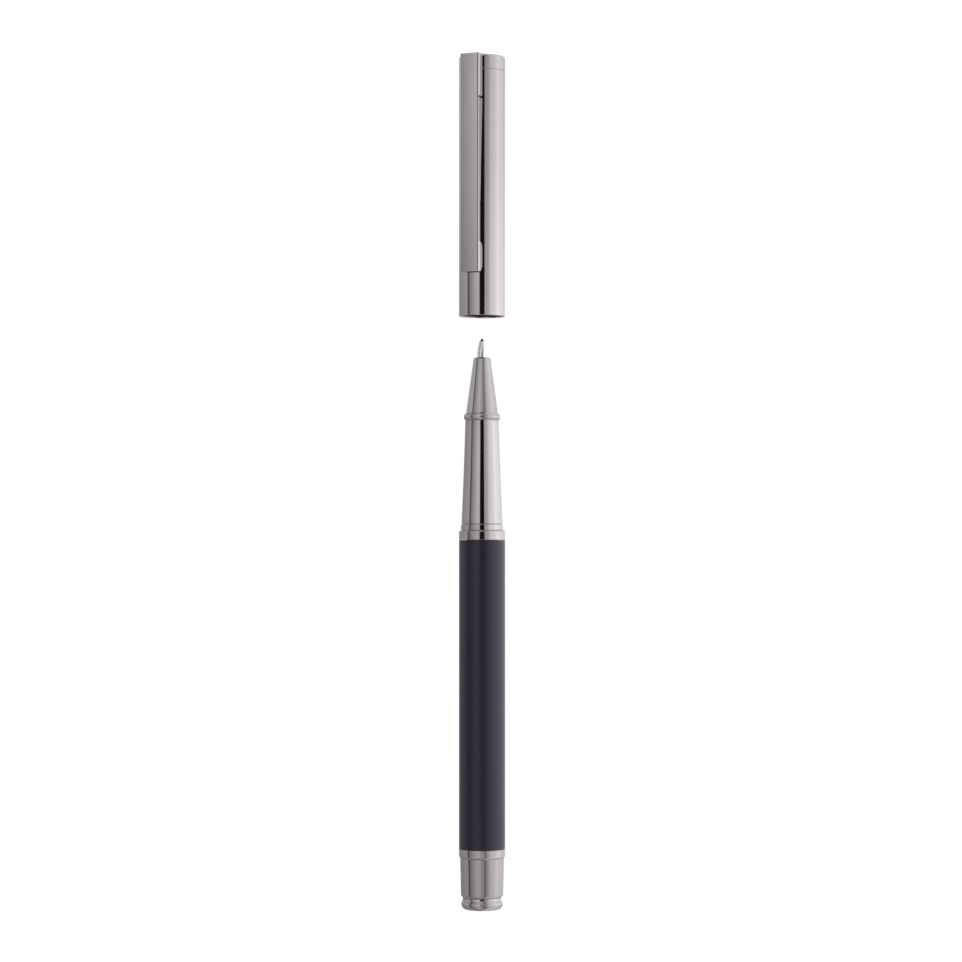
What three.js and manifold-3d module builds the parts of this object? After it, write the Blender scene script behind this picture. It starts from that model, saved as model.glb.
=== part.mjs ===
// Rollerball pen lying on a table with its cap pulled off: the cap lies in line with the pen,
// just beyond the nib. Millimetres, +Z up, the pen's axis along +Y, nib towards +Y.
// Stations are distances along the axis from the tail end of the pen.
import * as THREE from 'three';
import { mergeVertices } from 'three/addons/utils/BufferGeometryUtils.js';
import Module from 'manifold-3d';

const wasm = await Module();
wasm.setup();

// ---------- driving dimensions ----------
const SIDES = 24;                 // flats round a turned piece; one flat faces straight down
const FINE_SIDES = 16;            // flats round a small inner piece
const FIT = 0.05;                 // clearance between pieces that are pressed or screwed together
const BARREL_R = 5.0;             // outer radius of barrel, collar, rear ring and cap

const TAIL_END = 0;               // stations along the pen
const TAIL_BEAD = 1.2;
const TAIL_NECK = 2.2;
const SLEEVE_REAR = 2.7;
const SLEEVE_FRONT = 11.2;
const RING_REAR = 11.3;
const BARREL_REAR = 13.2;
const BARREL_FRONT = 80.15;
const COLLAR_FRONT = 82.2;
const BAND_FRONT = 83.6;
const GRIP_FRONT = 106.0;
const BEAD_FRONT = 107.65;
const NOSE_FRONT = 119.7;
const TIP_SHOULDER = 121.4;
const BALL_END = 123.8;

const TAIL_BEAD_R = 4.5;          // outer radii
const TAIL_NECK_R = 4.185;
const SLEEVE_REAR_R = 4.59;
const SLEEVE_FRONT_R = 4.76;
const BAND_R = 4.6;
const GRIP_REAR_R = 4.47;
const GRIP_FRONT_R = 3.66;
const GRIP_FLARE = 1.2;           // 1 would be a straight cone; more is more concave
const BEAD_R = 3.95;
const NOSE_REAR_R = 3.47;
const NOSE_FRONT_R = 1.82;
const NOSE_LIP_R = 1.6;
const TIP_R = 1.05;
const BALL_R = 0.35;

const TUBE_BORE_R = 4.3;          // inner radii
const BUSH_BORE_R = 3.6;
const CORE_R = 3.5;
const CORE_FRONT = 88;
const BUSH_REAR = 74;
const REFILL_R = 3.0;
const REFILL_BORE_R = 3.15;
const NOSE_SPIGOT_R = 3.35;
const NOSE_SPIGOT_REAR = 104.2;
const NOSE_SPIGOT_BORE_R = 2.85;
const NOSE_HOLE_R = 1.2;
const CUP_R = 3.6;
const CUP_REAR = 4.6;
const CUP_FLOOR = 1.4;
const CUP_FRONT = 17;

const REFILL_REAR = 13.3;         // a standard refill, 110.5 mm from plug to ball
const REFILL_WALL = 0.35;
const PLUG_HEAD = 1.6;
const RESERVOIR_REAR = 17;
const RESERVOIR_FRONT = 95;
const HOLDER_REAR = 99;
const HOLDER_COLLAR = 0.6;        // collar clamped between refill tube and nose cone
const TIP_REAR = 113;

const SPRING_R = 2.2;
const SPRING_WIRE_R = 0.25;
const SPRING_TURNS = 6;
const SPRING_GAP = 0.06;

const CAP_MOUTH = 128.6;          // the cap where it lies, off the pen
const CAP_SEAM = 181.75;
const CAP_TOP = 184.9;
const CAP_BORE_R = 4.7;
const CAP_EDGE = 0.5;
const CROWN_PLATE = 0.8;          // left above the screw's hole
const LINER_REAR = 150.1;
const LINER_FRONT = 174.6;
const LINER_R = 4.65;
const LINER_BORE_R = 4.15;
const LINER_LIP_R = 4.03;
const LINER_LIP = 1.5;
const LINER_FLOOR = 1.0;
const CROWN_SPIGOT = 2.0;
const CROWN_SPIGOT_R = 4.6;
const SCREW_R = 1.4;
const SCREW_HEAD_R = 2.3;
const SCREW_HEAD = 1.4;
const WASHER_R = 3.4;
const WASHER = 0.6;

const CLIP_TURN = THREE.MathUtils.degToRad(-27);  // the clip faces 27 degrees from straight up
const CLIP_WIDTH = 4.65;
const CLIP_FACE = 6.35;           // height of the clip's outer face above the cap's axis
const CLIP_SHEET = 0.4;
const CLIP_END = 137.9;
const CLIP_SEAT = 4.8;            // height of the flange edges, just clear of the cap
const CLIP_ROOT_END = 175.5;      // the deep flange runs from here to the top
const CLIP_ROOT_STEP = 0.6;       // length of the slope from the deep flange to the shallow one
const CLIP_LIP = 0.5;             // depth of the shallow flange between root and belly
const BELLY_CENTRE = 141.2;
const BELLY_HALF = 3.3;
const ANCHOR_WIDTH = 3.2;
const ANCHOR_SHEET = 0.6;
const ANCHOR_CLEAR = 0.08;

// ---------- materials ----------
const metal = (colour, roughness) =>
  new THREE.MeshStandardMaterial({ color: colour, metalness: 1, roughness });
const plain = (colour, roughness) =>
  new THREE.MeshStandardMaterial({ color: colour, metalness: 0, roughness });

const GUNMETAL = metal(0x8d8a8b, 0.15);
const LACQUER = plain(0x23202c, 0.3);
const BRASS = metal(0xb08d4a, 0.35);
const STEEL = metal(0xb8bcc0, 0.25);
const NICKEL = metal(0xcfd0cd, 0.2);
const CARBIDE = metal(0x55575a, 0.2);
const BLACK_PLASTIC = plain(0x151517, 0.5);
const WHITE_PLASTIC = plain(0xd8d6cf, 0.5);
const INK_FIBRE = plain(0x1b2145, 0.9);
const REFILL_METAL = metal(0xa9adb0, 0.3);

// ---------- shapes ----------
// Turned piece: outline is [radius, station] pairs. Radii are those of the true circle, which
// the flats touch, so the flats lie exactly at the stated radius.
function turned(outline, sides = SIDES) {
  const grow = 1 / Math.cos(Math.PI / sides);
  const points = outline.map(([radius, station]) => new THREE.Vector2(radius * grow, station));
  return new THREE.LatheGeometry(points, sides, Math.PI / sides);
}

// Ring or tube: outer and inner outlines, both written from tail to nib, joined into a loop.
function turnedTube(outer, inner, sides = SIDES) {
  const loop = [...outer, ...[...inner].reverse(), outer[0]];
  return turned(loop, sides);
}

function straightTube(rear, front, outerR, innerR, sides = SIDES) {
  return turnedTube([[outerR, rear], [outerR, front]], [[innerR, rear], [innerR, front]], sides);
}

// Points of a quarter-round corner from angle a0 to a1, in degrees from the radial direction.
function arc(centreR, centreStation, radius, a0, a1, steps) {
  const points = [];
  for (let i = 0; i <= steps; i += 1) {
    const angle = THREE.MathUtils.degToRad(a0 + ((a1 - a0) * i) / steps);
    points.push([centreR + radius * Math.cos(angle), centreStation + radius * Math.sin(angle)]);
  }
  return points;
}

function toSolid(geometry) {
  const bare = geometry.clone();
  bare.deleteAttribute('normal');
  bare.deleteAttribute('uv');
  const merged = mergeVertices(bare, 1e-4);
  return new wasm.Manifold(new wasm.Mesh({
    numProp: 3,
    vertProperties: new Float32Array(merged.attributes.position.array),
    triVerts: new Uint32Array(merged.index.array),
  }));
}

function fromSolid(solid) {
  const mesh = solid.getMesh();
  const geometry = new THREE.BufferGeometry();
  geometry.setAttribute('position', new THREE.BufferAttribute(mesh.vertProperties, 3));
  geometry.setIndex(new THREE.BufferAttribute(mesh.triVerts, 1));
  geometry.computeVertexNormals();
  return geometry;
}

function box(width, length, height, x, y, z) {
  return new THREE.BoxGeometry(width, length, height).translate(x, y, z);
}

// ---------- barrel and tail ----------
function tailButton() {
  const flatR = 3.4;
  const flatRise = 0.06;
  const domeR = 3.95;
  const domeRise = 0.22;
  const beadHalf = 0.5;
  const beadRounding = 0.1;
  return turned([
    [0, TAIL_END],
    [flatR, TAIL_END + flatRise],
    [domeR, TAIL_END + domeRise],
    [TAIL_BEAD_R - beadRounding, TAIL_BEAD - beadHalf],
    [TAIL_BEAD_R, TAIL_BEAD],
    [TAIL_BEAD_R - beadRounding, TAIL_BEAD + beadHalf],
    [TAIL_NECK_R, TAIL_NECK],
    [TAIL_NECK_R, SLEEVE_REAR - FIT],
    [CUP_R, SLEEVE_REAR - FIT],
    [CUP_R, CUP_REAR - FIT],
    [0, CUP_REAR - FIT],
  ]);
}

function rearSleeve() {
  const boreR = CUP_R + FIT;
  const chamfer = 0.25;
  return turnedTube(
    [
      [SLEEVE_REAR_R - chamfer, SLEEVE_REAR],
      [SLEEVE_REAR_R, SLEEVE_REAR + chamfer],
      [SLEEVE_FRONT_R, SLEEVE_FRONT - chamfer],
      [SLEEVE_FRONT_R - chamfer, SLEEVE_FRONT],
    ],
    [[boreR, SLEEVE_REAR], [boreR, SLEEVE_FRONT]],
  );
}

function rearRing() {
  const chamfer = 0.2;
  const spigotFront = 16.5;
  const spigotR = TUBE_BORE_R - FIT;
  const boreR = CUP_R + FIT;
  return turnedTube(
    [
      [BARREL_R - chamfer, RING_REAR],
      [BARREL_R, RING_REAR + chamfer],
      [BARREL_R, BARREL_REAR - FIT],
      [spigotR, BARREL_REAR - FIT],
      [spigotR, spigotFront],
    ],
    [[boreR, RING_REAR], [boreR, spigotFront]],
  );
}

function tailCup() {
  return turned([
    [0, CUP_REAR],
    [CUP_R, CUP_REAR],
    [CUP_R, CUP_FRONT],
    [REFILL_BORE_R, CUP_FRONT],
    [REFILL_BORE_R, CUP_REAR + CUP_FLOOR],
    [0, CUP_REAR + CUP_FLOOR],
  ]);
}

function refillSpring() {
  const sidesRound = 6;
  const stepsPerTurn = 14;
  const rear = CUP_REAR + CUP_FLOOR + SPRING_WIRE_R + SPRING_GAP;
  const front = REFILL_REAR - SPRING_WIRE_R - SPRING_GAP;
  class Coil extends THREE.Curve {
    getPoint(t, target = new THREE.Vector3()) {
      const angle = 2 * Math.PI * SPRING_TURNS * t;
      return target.set(
        SPRING_R * Math.cos(angle),
        rear + (front - rear) * t,
        SPRING_R * Math.sin(angle),
      );
    }
  }
  const section = new THREE.Shape();
  for (let i = 0; i < sidesRound; i += 1) {
    const angle = (2 * Math.PI * i) / sidesRound;
    const x = SPRING_WIRE_R * Math.cos(angle);
    const y = SPRING_WIRE_R * Math.sin(angle);
    if (i === 0) section.moveTo(x, y);
    else section.lineTo(x, y);
  }
  return new THREE.ExtrudeGeometry(section, {
    steps: SPRING_TURNS * stepsPerTurn,
    bevelEnabled: false,
    extrudePath: new Coil(),
  });
}

// ---------- refill ----------
function refillTube() {
  return straightTube(REFILL_REAR + PLUG_HEAD, NOSE_SPIGOT_REAR - HOLDER_COLLAR, REFILL_R,
    REFILL_R - REFILL_WALL);
}

function refillEndPlug() {
  const spigotR = REFILL_R - REFILL_WALL - FIT;
  const headFront = REFILL_REAR + PLUG_HEAD - FIT;
  const chamfer = 0.2;
  return turned([
    [0, REFILL_REAR],
    [REFILL_R - chamfer, REFILL_REAR],
    [REFILL_R, REFILL_REAR + chamfer],
    [REFILL_R, headFront],
    [spigotR, headFront],
    [spigotR, RESERVOIR_REAR - FIT],
    [0, RESERVOIR_REAR - FIT],
  ]);
}

function inkReservoir() {
  const radius = REFILL_R - REFILL_WALL - FIT;
  return turned([[0, RESERVOIR_REAR], [radius, RESERVOIR_REAR], [radius, RESERVOIR_FRONT],
    [0, RESERVOIR_FRONT]]);
}

// Plastic holder that plugs the front of the refill and carries the writing tip.
function tipHolder() {
  const spigotR = REFILL_R - REFILL_WALL - FIT;
  const shoulderRear = NOSE_SPIGOT_REAR - HOLDER_COLLAR + FIT;
  const shoulderFront = NOSE_SPIGOT_REAR - FIT;
  const neckR = 2.65;
  const neckFront = 107.6;
  const noseR = 1.15;
  const noseFront = 117.2;
  const feedBoreR = 0.6;
  const tipBoreR = 0.85;
  return turnedTube(
    [
      [spigotR, HOLDER_REAR],
      [spigotR, shoulderRear],
      [REFILL_R, shoulderRear],
      [REFILL_R, shoulderFront],
      [neckR, shoulderFront],
      [neckR, neckFront],
      [noseR, noseFront],
    ],
    [
      [feedBoreR, HOLDER_REAR],
      [feedBoreR, TIP_REAR - FIT],
      [tipBoreR, TIP_REAR - FIT],
      [tipBoreR, noseFront],
    ],
    FINE_SIDES,
  );
}

function feedRod() {
  const rodR = 0.4;
  const rear = RESERVOIR_FRONT + FIT;
  return turned([[0, rear], [rodR, rear], [rodR, TIP_REAR - 2 * FIT], [0, TIP_REAR - 2 * FIT]],
    FINE_SIDES);
}

function writingTip() {
  const shankR = 0.8;
  const shoulder = 117.3;
  const lipR = 0.5;
  const lipFront = BALL_END - BALL_R;
  const socketR = BALL_R + 0.06;
  const socketRear = lipFront - 0.6;
  const inkBoreR = 0.2;
  return turnedTube(
    [
      [shankR, TIP_REAR],
      [shankR, shoulder],
      [TIP_R, shoulder],
      [TIP_R, TIP_SHOULDER],
      [lipR, lipFront],
    ],
    [
      [inkBoreR, TIP_REAR],
      [inkBoreR, socketRear],
      [socketR, socketRear],
      [socketR, lipFront],
    ],
    FINE_SIDES,
  );
}

function tipBall() {
  return new THREE.SphereGeometry(BALL_R, 12, 8).translate(0, BALL_END - BALL_R, 0);
}

// ---------- grip section ----------
function frontBush() {
  return straightTube(BUSH_REAR, BARREL_FRONT - FIT, TUBE_BORE_R - FIT, BUSH_BORE_R);
}

// Threaded inner tube: its rear half screws into the bush, its front half holds the sleeve.
function gripCore() {
  const threadRear = 75.6;
  const chamfer = 0.3;
  return turnedTube(
    [[CORE_R - chamfer, threadRear], [CORE_R, threadRear + chamfer], [CORE_R, CORE_FRONT]],
    [[REFILL_BORE_R, threadRear], [REFILL_BORE_R, CORE_FRONT]],
  );
}

function collar() {
  const rounding = 0.15;
  const boreR = CORE_R + FIT;
  return turnedTube(
    [
      [BARREL_R, BARREL_FRONT + FIT],
      [BARREL_R, COLLAR_FRONT - rounding],
      [BARREL_R - rounding, COLLAR_FRONT - FIT],
    ],
    [[boreR, BARREL_FRONT + FIT], [boreR, COLLAR_FRONT - FIT]],
  );
}

// Outer radius of the grip at a station, a slow concave flare from band to bead.
function gripRadius(station) {
  const t = (station - BAND_FRONT) / (GRIP_FRONT - BAND_FRONT);
  return GRIP_FRONT_R + (GRIP_REAR_R - GRIP_FRONT_R) * (1 - t) ** GRIP_FLARE;
}

function gripSleeve() {
  const grooveDepth = 0.12;
  const grooveLength = 0.2;
  const steps = 8;
  const outer = [
    [BAND_R, COLLAR_FRONT],
    [BAND_R, BAND_FRONT - grooveLength],
    [GRIP_REAR_R - grooveDepth, BAND_FRONT - grooveLength],
    [GRIP_REAR_R - grooveDepth, BAND_FRONT],
  ];
  for (let i = 0; i <= steps; i += 1) {
    const station = BAND_FRONT + ((GRIP_FRONT - FIT - BAND_FRONT) * i) / steps;
    outer.push([gripRadius(station), station]);
  }
  const coreBoreR = CORE_R + FIT;
  const spigotBoreR = NOSE_SPIGOT_R + FIT;
  return turnedTube(outer, [
    [coreBoreR, COLLAR_FRONT],
    [coreBoreR, CORE_FRONT + FIT],
    [REFILL_BORE_R, CORE_FRONT + FIT],
    [REFILL_BORE_R, NOSE_SPIGOT_REAR - FIT],
    [spigotBoreR, NOSE_SPIGOT_REAR - FIT],
    [spigotBoreR, GRIP_FRONT - FIT],
  ]);
}

function beadRing() {
  const centre = (GRIP_FRONT + BEAD_FRONT) / 2;
  const halfLength = (BEAD_FRONT - FIT - GRIP_FRONT) / 2;
  const rise = 0.6 * halfLength;
  const reach = 0.9 * halfLength;
  const outer = [[NOSE_REAR_R, GRIP_FRONT]];
  for (let degrees = -60; degrees <= 60; degrees += 30) {
    const turn = THREE.MathUtils.degToRad(degrees);
    outer.push([BEAD_R - rise + rise * Math.cos(turn), centre + reach * Math.sin(turn)]);
  }
  outer.push([NOSE_REAR_R, BEAD_FRONT - FIT]);
  const boreR = NOSE_SPIGOT_R + FIT;
  return turnedTube(outer, [[boreR, GRIP_FRONT], [boreR, BEAD_FRONT - FIT]]);
}

function noseCone() {
  const coneFront = 119.4;
  const boreTaperRear = 108;
  const boreTaperFront = 118.3;
  return turnedTube(
    [
      [NOSE_SPIGOT_R, NOSE_SPIGOT_REAR],
      [NOSE_SPIGOT_R, BEAD_FRONT],
      [NOSE_REAR_R, BEAD_FRONT],
      [NOSE_FRONT_R, coneFront],
      [NOSE_LIP_R, NOSE_FRONT],
    ],
    [
      [NOSE_SPIGOT_BORE_R, NOSE_SPIGOT_REAR],
      [NOSE_SPIGOT_BORE_R, boreTaperRear],
      [NOSE_HOLE_R, boreTaperFront],
      [NOSE_HOLE_R, NOSE_FRONT],
    ],
  );
}

// ---------- cap ----------
// Slot for the clip's anchor, cut through the top of the cap tube or the crown's spigot.
function anchorSlot() {
  const slotWidth = ANCHOR_WIDTH + 2 * ANCHOR_CLEAR;
  const slotLength = ANCHOR_SHEET + 2 * ANCHOR_CLEAR;
  const reach = 8;
  const slot = box(slotWidth, slotLength, reach, 0, anchorStation(), reach / 2);
  return slot.rotateY(CLIP_TURN);
}

function anchorStation() {
  return CAP_SEAM - CROWN_SPIGOT - ANCHOR_SHEET / 2 - ANCHOR_CLEAR;
}

function capTube() {
  const tube = straightTube(CAP_MOUTH, CAP_SEAM - FIT, BARREL_R, CAP_BORE_R);
  return fromSolid(toSolid(tube).subtract(toSolid(anchorSlot())));
}

function capLiner() {
  const entry = 0.4;
  return turned([
    [0, LINER_FRONT - LINER_FLOOR],
    [LINER_BORE_R, LINER_FRONT - LINER_FLOOR],
    [LINER_BORE_R, LINER_REAR + LINER_LIP + entry],
    [LINER_LIP_R, LINER_REAR + LINER_LIP],
    [LINER_LIP_R, LINER_REAR + entry],
    [LINER_BORE_R, LINER_REAR],
    [LINER_R, LINER_REAR],
    [LINER_R, LINER_FRONT],
    [0, LINER_FRONT],
  ]);
}

function crown() {
  const screwHoleR = SCREW_R + FIT;
  const holeFront = CAP_TOP - CROWN_PLATE;
  return turned([
    [0, holeFront],
    [screwHoleR, holeFront],
    [screwHoleR, CAP_SEAM - CROWN_SPIGOT],
    [CROWN_SPIGOT_R, CAP_SEAM - CROWN_SPIGOT],
    [CROWN_SPIGOT_R, CAP_SEAM],
    [BARREL_R, CAP_SEAM],
    ...arc(BARREL_R - CAP_EDGE, CAP_TOP - CAP_EDGE, CAP_EDGE, 0, 90, 3),
    [0, CAP_TOP],
  ]);
}

function clipWasher() {
  const front = anchorStation() - ANCHOR_SHEET / 2 - FIT;
  return straightTube(front - WASHER, front, WASHER_R, SCREW_R + FIT, FINE_SIDES);
}

function clipScrew() {
  const headFront = anchorStation() - ANCHOR_SHEET / 2 - WASHER - 2 * FIT;
  const endRoom = 0.2;
  const shankFront = CAP_TOP - CROWN_PLATE - endRoom;
  const socketR = 0.9;
  const socketDepth = 0.7;
  return turned([
    [0, headFront - SCREW_HEAD + socketDepth],
    [socketR, headFront - SCREW_HEAD + socketDepth],
    [socketR, headFront - SCREW_HEAD],
    [SCREW_HEAD_R, headFront - SCREW_HEAD],
    [SCREW_HEAD_R, headFront],
    [SCREW_R, headFront],
    [SCREW_R, shankFront],
    [0, shankFront],
  ], FINE_SIDES);
}

// Eyelet and tongue inside the cap that hold the clip: the eyelet goes over the screw.
function clipAnchor() {
  const eyeletR = 3.2;
  const station = anchorStation();
  const tongueFoot = 2;
  const tongueEnd = CLIP_FACE - CLIP_SHEET - ANCHOR_CLEAR;
  const tongue = box(ANCHOR_WIDTH, ANCHOR_SHEET, tongueEnd - tongueFoot, 0, station,
    (tongueEnd + tongueFoot) / 2);
  const eyelet = straightTube(station - ANCHOR_SHEET / 2, station + ANCHOR_SHEET / 2, eyeletR,
    SCREW_R + FIT, FINE_SIDES);
  return fromSolid(toSolid(eyelet).add(toSolid(tongue)));
}

// ---------- clip ----------
// Side profile of a flange in (station, height) as seen along the clip's width.
function flangeProfile() {
  const top = CLIP_FACE - CLIP_SHEET / 2;
  const lip = CLIP_FACE - CLIP_LIP;
  const bellySteps = 8;
  const profile = new THREE.Shape();
  profile.moveTo(CLIP_END, top);
  profile.lineTo(CLIP_END, lip);
  for (let i = 0; i <= bellySteps; i += 1) {
    const turn = Math.PI * (1 - i / bellySteps);
    profile.lineTo(BELLY_CENTRE + BELLY_HALF * Math.cos(turn),
      lip - (lip - CLIP_SEAT) * Math.sin(turn));
  }
  profile.lineTo(CLIP_ROOT_END - CLIP_ROOT_STEP, lip);
  profile.lineTo(CLIP_ROOT_END, CLIP_SEAT);
  profile.lineTo(CAP_TOP, CLIP_SEAT);
  profile.lineTo(CAP_TOP, top);
  profile.closePath();
  return profile;
}

// A flange is the profile swept through the sheet's thickness, set with its outer side at x.
function flange(outerX) {
  const geometry = new THREE.ExtrudeGeometry(flangeProfile(), {
    depth: CLIP_SHEET,
    bevelEnabled: false,
  });
  // profile x -> station (Y), profile y -> height (Z), extrusion -> across the clip (X)
  const toPlace = new THREE.Matrix4().makeBasis(
    new THREE.Vector3(0, 1, 0), new THREE.Vector3(0, 0, 1), new THREE.Vector3(1, 0, 0));
  geometry.applyMatrix4(toPlace);
  return geometry.translate(outerX, 0, 0);
}

// The flat face and the two flanges folded down from it.
function clip() {
  const length = CAP_TOP - CLIP_END;
  const face = box(CLIP_WIDTH, length, CLIP_SHEET, 0, CLIP_END + length / 2,
    CLIP_FACE - CLIP_SHEET / 2);
  const left = flange(-CLIP_WIDTH / 2);
  const right = flange(CLIP_WIDTH / 2 - CLIP_SHEET);
  return fromSolid(toSolid(face).add(toSolid(left)).add(toSolid(right)));
}

// ---------- assembly ----------
const pieces = [
  ['tail_button', tailButton(), GUNMETAL],
  ['rear_sleeve', rearSleeve(), GUNMETAL],
  ['rear_ring', rearRing(), GUNMETAL],
  ['tail_cup', tailCup(), BRASS],
  ['refill_spring', refillSpring(), STEEL],
  ['barrel_tube', straightTube(BARREL_REAR, BARREL_FRONT, BARREL_R, TUBE_BORE_R), LACQUER],
  ['front_bush', frontBush(), BRASS],
  ['refill_tube', refillTube(), REFILL_METAL],
  ['refill_end_plug', refillEndPlug(), BLACK_PLASTIC],
  ['ink_reservoir', inkReservoir(), INK_FIBRE],
  ['tip_holder', tipHolder(), WHITE_PLASTIC],
  ['feed_rod', feedRod(), INK_FIBRE],
  ['writing_tip', writingTip(), NICKEL],
  ['tip_ball', tipBall(), CARBIDE],
  ['grip_core', gripCore(), BRASS],
  ['centre_collar', collar(), GUNMETAL],
  ['grip_sleeve', gripSleeve(), GUNMETAL],
  ['bead_ring', beadRing(), GUNMETAL],
  ['nose_cone', noseCone(), GUNMETAL],
  ['cap_tube', capTube(), GUNMETAL],
  ['cap_liner', capLiner(), BLACK_PLASTIC],
  ['cap_crown', crown(), GUNMETAL],
  ['clip_washer', clipWasher(), STEEL],
  ['clip_screw', clipScrew(), STEEL],
];
const piecesFacingTheClip = [
  ['clip_anchor', clipAnchor(), STEEL],
  ['clip', clip(), GUNMETAL],
];

// The axis lies one barrel radius above the table, and the origin is below the middle of the
// whole length, from the tail button to the top of the cap.
const pen = new THREE.Group();
pen.position.set(0, -(TAIL_END + CAP_TOP) / 2, BARREL_R);
const clipGroup = new THREE.Group();
clipGroup.rotation.y = CLIP_TURN;
pen.add(clipGroup);

function place(group, list) {
  for (const [name, geometry, material] of list) {
    const mesh = new THREE.Mesh(geometry, material);
    mesh.name = name;
    group.add(mesh);
  }
}

place(pen, pieces);
place(clipGroup, piecesFacingTheClip);

pen.updateMatrixWorld(true);
export default pen;
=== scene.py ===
import math

import bmesh
import bpy
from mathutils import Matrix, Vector

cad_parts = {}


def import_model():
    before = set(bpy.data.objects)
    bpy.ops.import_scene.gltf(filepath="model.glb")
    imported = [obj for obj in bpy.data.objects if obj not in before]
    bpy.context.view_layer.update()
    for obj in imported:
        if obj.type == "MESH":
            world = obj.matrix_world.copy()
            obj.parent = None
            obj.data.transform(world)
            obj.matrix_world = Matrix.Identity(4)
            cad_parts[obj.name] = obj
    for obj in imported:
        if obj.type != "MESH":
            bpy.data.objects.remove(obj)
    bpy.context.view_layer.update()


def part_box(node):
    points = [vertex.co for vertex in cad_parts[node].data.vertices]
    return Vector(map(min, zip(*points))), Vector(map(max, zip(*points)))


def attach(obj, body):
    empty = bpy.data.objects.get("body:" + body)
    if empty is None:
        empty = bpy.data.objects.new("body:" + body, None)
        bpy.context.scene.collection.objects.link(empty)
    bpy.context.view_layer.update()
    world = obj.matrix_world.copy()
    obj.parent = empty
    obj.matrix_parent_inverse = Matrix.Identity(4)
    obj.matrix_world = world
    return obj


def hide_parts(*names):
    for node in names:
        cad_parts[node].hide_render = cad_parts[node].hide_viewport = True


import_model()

MM = 0.001
SIDES = 160              # flats round a visible turned piece
SMALL_SIDES = 96
FILLET_STEPS = 5
SUPPORT = 0.03           # ring beside a fillet, so that a long face shades as straight
SHARP_ANGLE = 35         # degrees
FILLET_SHARE = 0.45      # the most of a side that one fillet may take
ON_AXIS = 1e-6           # a ring smaller than this is a single point
WELD = 1e-8              # metres
HAIR = 0.001             # two stations this close draw a step
FIT = 0.05
SEAM_GAP = 0.01          # between two pieces drawn tight against each other


# ---------- places, from the frame ----------
def span(node):
    low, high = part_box(node)
    return low[1] / MM, high[1] / MM


def radius(node):
    low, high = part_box(node)
    return (high[0] - low[0]) / (2 * MM)


def axis_height():
    low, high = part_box("barrel_tube")
    return (low[2] + high[2]) / 2


AXIS_Z = axis_height()
TAIL = span("tail_button")[0]
CLIP_TURN = math.radians(-27)    # the clip's face from straight up


# ---------- shapes ----------
def rounded(outline, closed):
    """Points of an outline of (radius, station, fillet) corners, each fillet drawn as an arc."""
    points = []
    last = len(outline) - 1
    for i, corner in enumerate(outline):
        here = Vector(corner[:2])
        fillet = corner[2] if len(corner) > 2 else 0
        if not fillet or (not closed and i in (0, last)):
            points.append(here)
            continue
        back = Vector(outline[i - 1][:2]) - here
        ahead = Vector(outline[(i + 1) % (last + 1)][:2]) - here
        half = back.angle(ahead) / 2
        reach = min(fillet / math.tan(half), FILLET_SHARE * back.length,
                    FILLET_SHARE * ahead.length)
        size = reach * math.tan(half)
        back.normalize()
        ahead.normalize()
        start = here + back * reach
        end = here + ahead * reach
        centre = here + (back + ahead).normalized() * (size / math.sin(half))
        points.append(start + back * min(SUPPORT, 0.1 * reach + 0.01))
        first = start - centre
        sweep = first.angle_signed(end - centre)
        for step in range(FILLET_STEPS + 1):
            turn = -sweep * step / FILLET_STEPS
            points.append(centre + Vector((
                first.x * math.cos(turn) - first.y * math.sin(turn),
                first.x * math.sin(turn) + first.y * math.cos(turn),
            )))
        points.append(end + ahead * min(SUPPORT, 0.1 * reach + 0.01))
    return points


def through(points, steps=6):
    """A smooth curve through given points, as a list of (radius, station)."""
    knots = [Vector(p) for p in points]
    knots = [2 * knots[0] - knots[1]] + knots + [2 * knots[-1] - knots[-2]]
    curve = []
    for a, b, c, d in zip(knots, knots[1:], knots[2:], knots[3:]):
        for step in range(steps):
            t = step / steps
            curve.append(tuple(0.5 * (2 * b + (c - a) * t + (2 * a - 5 * b + 4 * c - d) * t ** 2
                                      + (3 * b - a - 3 * c + d) * t ** 3)))
    curve.append(tuple(knots[-2]))
    return curve


def mesh_object(name, bm):
    bmesh.ops.remove_doubles(bm, verts=bm.verts, dist=WELD)
    bmesh.ops.recalc_face_normals(bm, faces=bm.faces)
    for face in bm.faces:
        face.smooth = True
    mesh = bpy.data.meshes.new(name)
    bm.to_mesh(mesh)
    bm.free()
    mesh.set_sharp_from_angle(angle=math.radians(SHARP_ANGLE))
    piece = bpy.data.objects.new(name, mesh)
    bpy.context.collection.objects.link(piece)
    return piece


def ring(bm, r, station, sides, relief):
    if r < ON_AXIS:
        return [bm.verts.new((0, station * MM, AXIS_Z))]
    verts = []
    for k in range(sides):
        turn = 2 * math.pi * k / sides
        reach = r + relief(r, station, turn) if relief else r
        verts.append(bm.verts.new((reach * math.sin(turn) * MM, station * MM,
                                   AXIS_Z + reach * math.cos(turn) * MM)))
    return verts


def bridge(bm, a, b):
    count = max(len(a), len(b))
    for k in range(count):
        corners = [a[k % len(a)], a[(k + 1) % len(a)], b[(k + 1) % len(b)], b[k % len(b)]]
        distinct = list(dict.fromkeys(corners))
        if len(distinct) > 2:
            bm.faces.new(distinct)


def lathe(name, outline, sides=SIDES, relief=None):
    """Solid turned about the pen's axis. relief(radius, station, turn) adds to the radius."""
    closed = outline[0][0] > 0
    bm = bmesh.new()
    rings = [ring(bm, p[0], p[1], sides, relief) for p in rounded(outline, closed)]
    for a, b in zip(rings, rings[1:]):
        bridge(bm, a, b)
    if closed:
        bridge(bm, rings[-1], rings[0])
    return mesh_object(name, bm)


def tube(name, rear, front, outer_r, inner_r, edge=0.05, sides=SIDES):
    outline = [(outer_r, rear, edge), (outer_r, front, edge), (inner_r, front, edge / 2),
               (inner_r, rear, edge / 2)]
    return lathe(name, outline, sides)


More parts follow.
